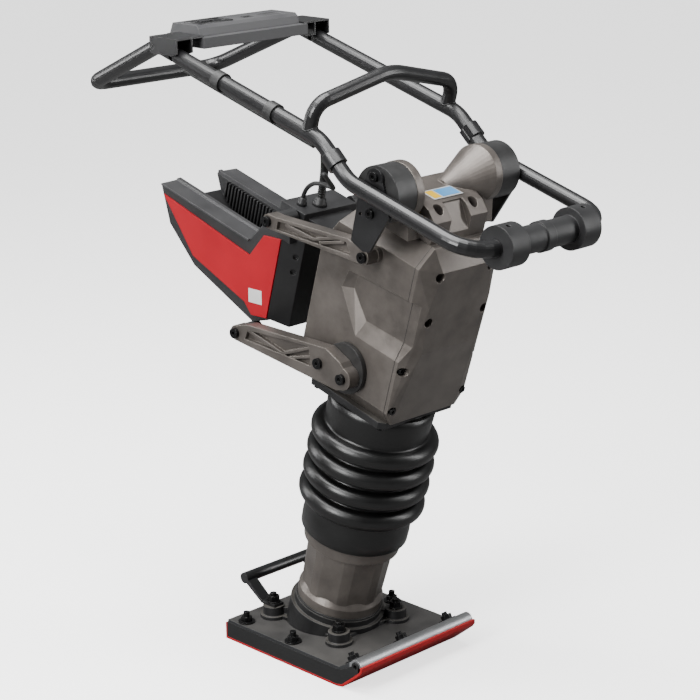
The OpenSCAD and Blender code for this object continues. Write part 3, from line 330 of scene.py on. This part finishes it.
# Control panel: the same nylon in charcoal, rubbed grey by hands.
charcoal = finish("charcoal moulded nylon", "#434344", "#38383a", 0.5, 0.7, 0.5, 70,
                  edge="#6a6a6a", edge_mm=1.6, ior=1.53)
dress(charcoal, "control_panel", "panel_pod")
satin = finish("black switch plastic", "#222223", "#1b1b1c", 0.35, 0.6, 0.2, 20, edge="#3a3a3a",
               ior=1.5)
dress(satin, "start_button", "speed_rocker", "battery_latch")
red = finish("red moulded nylon", "#a00016", "#920013", 0.5, 0.6, 0.25, 110, edge="#b8060e",
             edge_mm=1.0, ior=1.4)
dress(red, "side_panels")
rail = finish("grey moulded nylon", "#3c3c3d", "#303031", 0.45, 0.6, 0.35, 60, edge="#777777",
              edge_mm=1.0, ior=1.53)
dress(rail, "bay_rails")

# Bellows: one black rubber moulding with four round folds, clamped over the leg's collar and
# under the crankcase's base flange.
FOLDS = 4
FOLD_PITCH = 0.040
folds = [(0.0853, 0.2305), (0.0905, 0.2305), (0.0935, 0.2335), (0.0940, 0.252),
         (0.0925, 0.268), (0.0900, 0.279)]
for i in range(FOLDS):
    middle = 0.304 + i * FOLD_PITCH
    for k in range(15):
        a = math.radians(-105 + 15 * k)
        folds.append((0.0945 + 0.0155 * math.cos(a), middle + 0.0162 * math.sin(a)))
folds += [(0.0895, 0.4435), (0.0900, 0.455), (0.0915, 0.480), (0.0915, 0.4955),
          (0.0853, 0.4955)]
moulded = finish("black bellows rubber", "#0d0d0d", "#080808", 0.34, 0.9, 0.3, 45, ior=1.52)
bellows = turned("bellows", folds, moulded, None, 112, LEAN)
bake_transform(bellows)
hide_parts("bellows")

# Leg springs: round spring steel wire coiled below and above the piston, inside the leg's
# cylinder.
COIL_R = 0.038
WIRE_R = 0.0045
TURN_STEPS = 12
for name, node, low, high, turns, ends in (
        ("lower_coil_spring", "lower_spring", 0.1195, 0.1915, 5, ("foot", "upper")),
        ("upper_coil_spring", "upper_spring", 0.2265, 0.3825, 8, ("upper", "foot"))):
    count = turns * TURN_STEPS
    coil = [(COIL_R * math.cos(math.tau * k / TURN_STEPS),
             COIL_R * math.sin(math.tau * k / TURN_STEPS),
             low + (high - low) * k / count) for k in range(count + 1)]
    spring = hose(name, coil, WIRE_R, drawn, None, 10, LEAN, count * 2)
    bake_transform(spring)
    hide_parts(node)

# Conduit and signal lead: from the glands on the controller's top up to the frame, one in a
# corrugated plastic sleeve and one a plain rubber lead.
sleeve = finish("black corrugated conduit", "#171717", "#101010", 0.38, 0.5, 0.2, 25, ior=1.5)


def corrugated(x):
    return 0.0066 + 0.0007 * math.sin(math.tau * x / 0.0048)


conduit = hose("power_conduit", [(-0.218, -0.008, 0.750), (-0.218, -0.008, 0.766),
                                 (-0.217, -0.010, 0.786), (-0.213, -0.016, 0.808),
                                 (-0.206, -0.026, 0.830), (-0.196, -0.040, 0.850),
                                 (-0.184, -0.056, 0.868), (-0.170, -0.074, 0.884),
                                 (-0.154, -0.092, 0.898), (-0.134, -0.120, 0.914),
                                 (-0.116, -0.143, 0.926)],
               corrugated, sleeve, None, 14, LEAN, 260)
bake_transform(conduit)
lead = hose("signal_lead", [(-0.230, -0.038, 0.750), (-0.230, -0.038, 0.764),
                            (-0.226, -0.040, 0.778), (-0.216, -0.045, 0.792),
                            (-0.200, -0.052, 0.806), (-0.182, -0.060, 0.816),
                            (-0.164, -0.066, 0.824), (-0.146, -0.074, 0.830),
                            (-0.130, -0.082, 0.836), (-0.112, -0.100, 0.848),
                            (-0.098, -0.142, 0.884)],
            0.0038, rubber, None, 12, LEAN)
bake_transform(lead)
for i, (x, y, r) in enumerate([(-0.218, -0.008, 0.0125), (-0.230, -0.038, 0.0085)]):
    turned("cable_gland_%d" % i, [(0.0, 0), (r, 0), (r, 0.005), (r * 0.8, 0.007),
                                  (r * 0.8, 0.012), (r * 0.6, 0.014), (0, 0.014)],
           nylon, "upper", 24, LEAN @ Matrix.Translation((x, y, 0.752)), False)
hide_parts("bay_cables")

# Label on the top casting's saddle: a thin printed aluminium plate, its print left out and
# only its two colour fields kept.
printed = finish("pale printed aluminium label", "#b9bcbd", "#a9acad", 0.35, 0.8, 0.1, 30,
                 metal=0.3, edge_mm=0.3)
blue = finish("blue printed label field", "#3f7fae", "#3a77a5", 0.35, 0.8, 0.1, 30, edge_mm=0.2)
yellow = finish("yellow printed label field", "#c9a21a", "#bd9716", 0.35, 0.8, 0.1, 30,
                edge_mm=0.2)
slab("saddle_label", rect(0.014, -0.033, 0.044, 0.033), 0.8841, 0.8847, 0.0002, printed,
     "upper", LEAN)
slab("label_field_blue", rect(0.017, -0.010, 0.041, 0.030), 0.8846, 0.8849, 0, blue, "upper",
     LEAN)
slab("label_field_yellow", rect(0.017, -0.030, 0.041, -0.014), 0.8846, 0.8849, 0, yellow,
     "upper", LEAN)

# Side panel stickers: small blank polyester stickers low on the red panels, no print.
white = finish("white polyester sticker", "#d4d4d2", "#c9c9c7", 0.4, 0.8, 0.1, 30, edge_mm=0.2)
upright_side = Matrix(((1, 0, 0, 0), (0, 0, 1, 0), (0, 1, 0, 0), (0, 0, 0, 1)))
for name, y in (("sticker_right", -0.0883), ("sticker_left", 0.0880)):
    slab(name, [(-0.2620, 0.5630), (-0.2300, 0.5720), (-0.2370, 0.5955), (-0.2685, 0.5865)],
         y, y + 0.0003, 0, white, "bay", LEAN @ upright_side)

# Battery slot: moulded fins down both walls guide the pack, and a terminal block with blade
# contacts stands at the slot's front end.
FINS = 24
FIN_PITCH = 0.0084
FIN_WIDTH = 0.0032
for side in (-1, 1):
    points, faces = [], []
    for k in range(FINS):
        x0 = -0.494 + k * FIN_PITCH
        x1 = x0 + FIN_WIDTH
        foot = max(0.583, 0.644 - (x0 + 0.516) * 0.5636 + 0.002)
        y0, y1 = side * 0.0385, side * 0.0445
        b = len(points)
        points += [(x, y, z) for x in (x0, x1) for y in (y0, y1) for z in (foot, 0.6635)]
        faces += [tuple(b + i for i in f) for f in ((0, 1, 3, 2), (4, 6, 7, 5), (0, 4, 5, 1),
                                                    (2, 3, 7, 6), (1, 5, 7, 3), (0, 2, 6, 4))]
    solid("slot_fins_right" if side < 0 else "slot_fins_left", points, faces, nylon, "bay",
          LEAN, False)
slab("terminal_block", rect(-0.3040, -0.034, -0.2852, 0.034), 0.5825, 0.640, 0.002, satin,
     "bay", LEAN)
contact = finish("tinned copper contact", "#b08a5a", "#9c784c", 0.3, 0.6, 0.1, 15, metal=1.0)
for i in range(5):
    y = -0.024 + i * 0.012
    slab("contact_blade_%d" % i, rect(-0.3130, y - 0.0008, -0.3035, y + 0.0008), 0.595, 0.632,
         0.0003, contact, "bay", LEAN)

# Joint faces: a thin black gasket shows as a dark line between the crankcase and its cover.
edge = [(0.0763, 0.508), (0.0923, 0.532), (0.0923, 0.6288), (0.0803, 0.6597), (0.0803, 0.7325),
        (0.0923, 0.7365), (0.0923, 0.7950), (0.0643, 0.8262)]
line = edge + [(-y, z) for y, z in reversed(edge)]
facing = Matrix(((0, 0, 1, 0), (1, 0, 0, 0), (0, 1, 0, 0), (0, 0, 0, 1)))
slab("cover_gasket", line, 0.0836, 0.0844, 0, rubber, "upper", LEAN @ facing)

# Welds: a bead round each foot of the hoop, where it meets the side tube.
bead = finish("painted weld bead", "#161617", "#101011", 0.4, 1.6, 0.8, 6, ior=1.5)
BEAD_R = 0.0016
BEAD_SIDES = 8
for side in (-1, 1):
    ring = [(0.0118 + BEAD_R * math.cos(math.tau * k / BEAD_SIDES),
             BEAD_R * math.sin(math.tau * k / BEAD_SIDES)) for k in range(BEAD_SIDES)]
    points, faces, steps = [], [], 48
    for k in range(steps):
        a = math.tau * k / steps
        drop = math.sqrt(max(0.013 ** 2 - (0.012 * math.sin(a)) ** 2, 0)) + 0.943
        for r, z in ring:
            points.append((-0.130 + r * math.cos(a), side * 0.158 + r * math.sin(a), drop + z))
    for k in range(steps):
        m = (k + 1) % steps
        for i in range(BEAD_SIDES):
            j = (i + 1) % BEAD_SIDES
            faces.append((k * BEAD_SIDES + i, m * BEAD_SIDES + i, m * BEAD_SIDES + j,
                          k * BEAD_SIDES + j))
    solid("hoop_weld_right" if side < 0 else "hoop_weld_left", points, faces, bead, "handle",
          LEAN)

# Control panel: a guard frame round the switches, a smoked status window and a blank label.
low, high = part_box("panel_pod")
top = high[2]
guard_y = low[1] + 0.049
outer = rect(high[0] - 0.056, guard_y - 0.036, high[0] - 0.012, guard_y + 0.036)
GUARD_T = 0.004
walls = [rect(outer[0][0], outer[0][1], outer[2][0], outer[0][1] + GUARD_T),
         rect(outer[0][0], outer[2][1] - GUARD_T, outer[2][0], outer[2][1]),
         rect(outer[0][0], outer[0][1], outer[0][0] + GUARD_T, outer[2][1]),
         rect(outer[2][0] - GUARD_T, outer[0][1], outer[2][0], outer[2][1])]
for i, wall in enumerate(walls):
    slab("switch_guard_%d" % i, wall, top - 0.0045, top + 0.0022, 0.0012, satin, "handle")
smoked = finish("smoked acrylic window", "#0a0b0d", "#08090b", 0.08, 0.8, 0.02, 30, ior=1.49)
slab("status_window", rect(high[0] - 0.0395, low[1] + 0.1205, high[0] - 0.0245, low[1] + 0.1455),
     top - 0.0021, top - 0.0006, 0.0004, smoked, "handle")
slab("panel_label", rect(high[0] - 0.0435, high[1] - 0.0565, high[0] - 0.0185, high[1] - 0.0135),
     top - 0.0016, top - 0.0010, 0.0002, rail, "handle")

# Floor and light: a pale seamless floor and surround that read white to the camera and only
# weakly light the machine, so that its black parts keep their depth.
pale = bpy.data.materials.new("pale studio floor")
pale.use_nodes = True
t = pale.node_tree
seen = add(t, "LightPath").outputs["Is Camera Ray"]
speck = add(t, "TexNoise", Scale=3.0, Detail=2.0).outputs["Fac"]
shade = ramp(t, speck, [(0.2, "#efefee"), (0.8, "#f4f4f3")])
mixed = add(t, "Mix", [(0, seen), (7, shade)], data_type="RGBA")
mixed.inputs[6].default_value = linear("#6e6e6e")
t.links.new(mixed.outputs[2], t.nodes["Principled BSDF"].inputs["Base Color"])
t.nodes["Principled BSDF"].inputs["Roughness"].default_value = 0.8
lift = add(t, "Math", [(0, seen)], operation="MULTIPLY")
lift.inputs[1].default_value = 1.8
t.links.new(lift.outputs[0], t.nodes["Principled BSDF"].inputs["Emission Strength"])
t.nodes["Principled BSDF"].inputs["Emission Color"].default_value = linear("#ffffff")
floor = bpy.data.objects.new("floor", bpy.data.meshes.new("floor"))
floor.data.from_pydata([(-9, -9, 0), (9, -9, 0), (9, 9, 0), (-9, 9, 0)], [], [(0, 1, 2, 3)])
floor.data.materials.append(pale)
bpy.context.scene.collection.objects.link(floor)


def lamp(name, place, target, size, size_y, power):
    light = bpy.data.lights.new(name, "AREA")
    light.shape = "RECTANGLE"
    light.size, light.size_y, light.energy = size, size_y, power
    unit = bpy.data.objects.new(name, light)
    unit.location = place
    aim = Vector(target) - Vector(place)
    unit.rotation_euler = aim.to_track_quat("-Z", "Y").to_euler()
    bpy.context.scene.collection.objects.link(unit)


lamp("overhead softbox", (-0.1, -0.5, 3.2), (0, 0, 0.5), 2.4, 2.4, 205)
lamp("side softbox", (0.3, -3.3, 2.3), (0, 0, 0.55), 1.3, 1.8, 165)
lamp("right strip", (2.2, 1.8, 1.6), (0, 0, 0.6), 0.4, 2.4, 45)
lamp("left strip", (-2.4, -1.2, 1.6), (0, 0, 0.6), 0.5, 2.2, 40)
sky = bpy.data.worlds.new("studio")
sky.use_nodes = True
t = sky.node_tree
seen = add(t, "LightPath").outputs["Is Camera Ray"]
glow = add(t, "MapRange", [("Value", seen)])
glow.inputs["To Min"].default_value = 0.22
glow.inputs["To Max"].default_value = 2.2
t.nodes["Background"].inputs["Color"].default_value = linear("#f5f6f7")
t.links.new(glow.outputs["Result"], t.nodes["Background"].inputs["Strength"])
bpy.context.scene.world = sky

# Camera: a long lens above the machine's top, in front of it and to its right.
turn, tip, roll = (math.radians(v) for v in (45.597, 16.465, -0.721))
back = Vector((math.sin(turn) * math.cos(tip), -math.cos(turn) * math.cos(tip), math.sin(tip)))
right = Vector((math.cos(turn), math.sin(turn), 0))
upward = back.cross(right)
level = right * math.cos(roll) + upward * math.sin(roll)
upright = upward * math.cos(roll) - right * math.sin(roll)
lens = bpy.data.cameras.new("camera")
lens.lens = 106.10
lens.sensor_width = 36
eye = bpy.data.objects.new("camera", lens)
bpy.context.scene.collection.objects.link(eye)
eye.matrix_world = Matrix.Translation((2.398984, -2.339756, 1.528110)) @ Matrix(
    (level, upright, back)).transposed().to_4x4()
bpy.context.scene.camera = eye
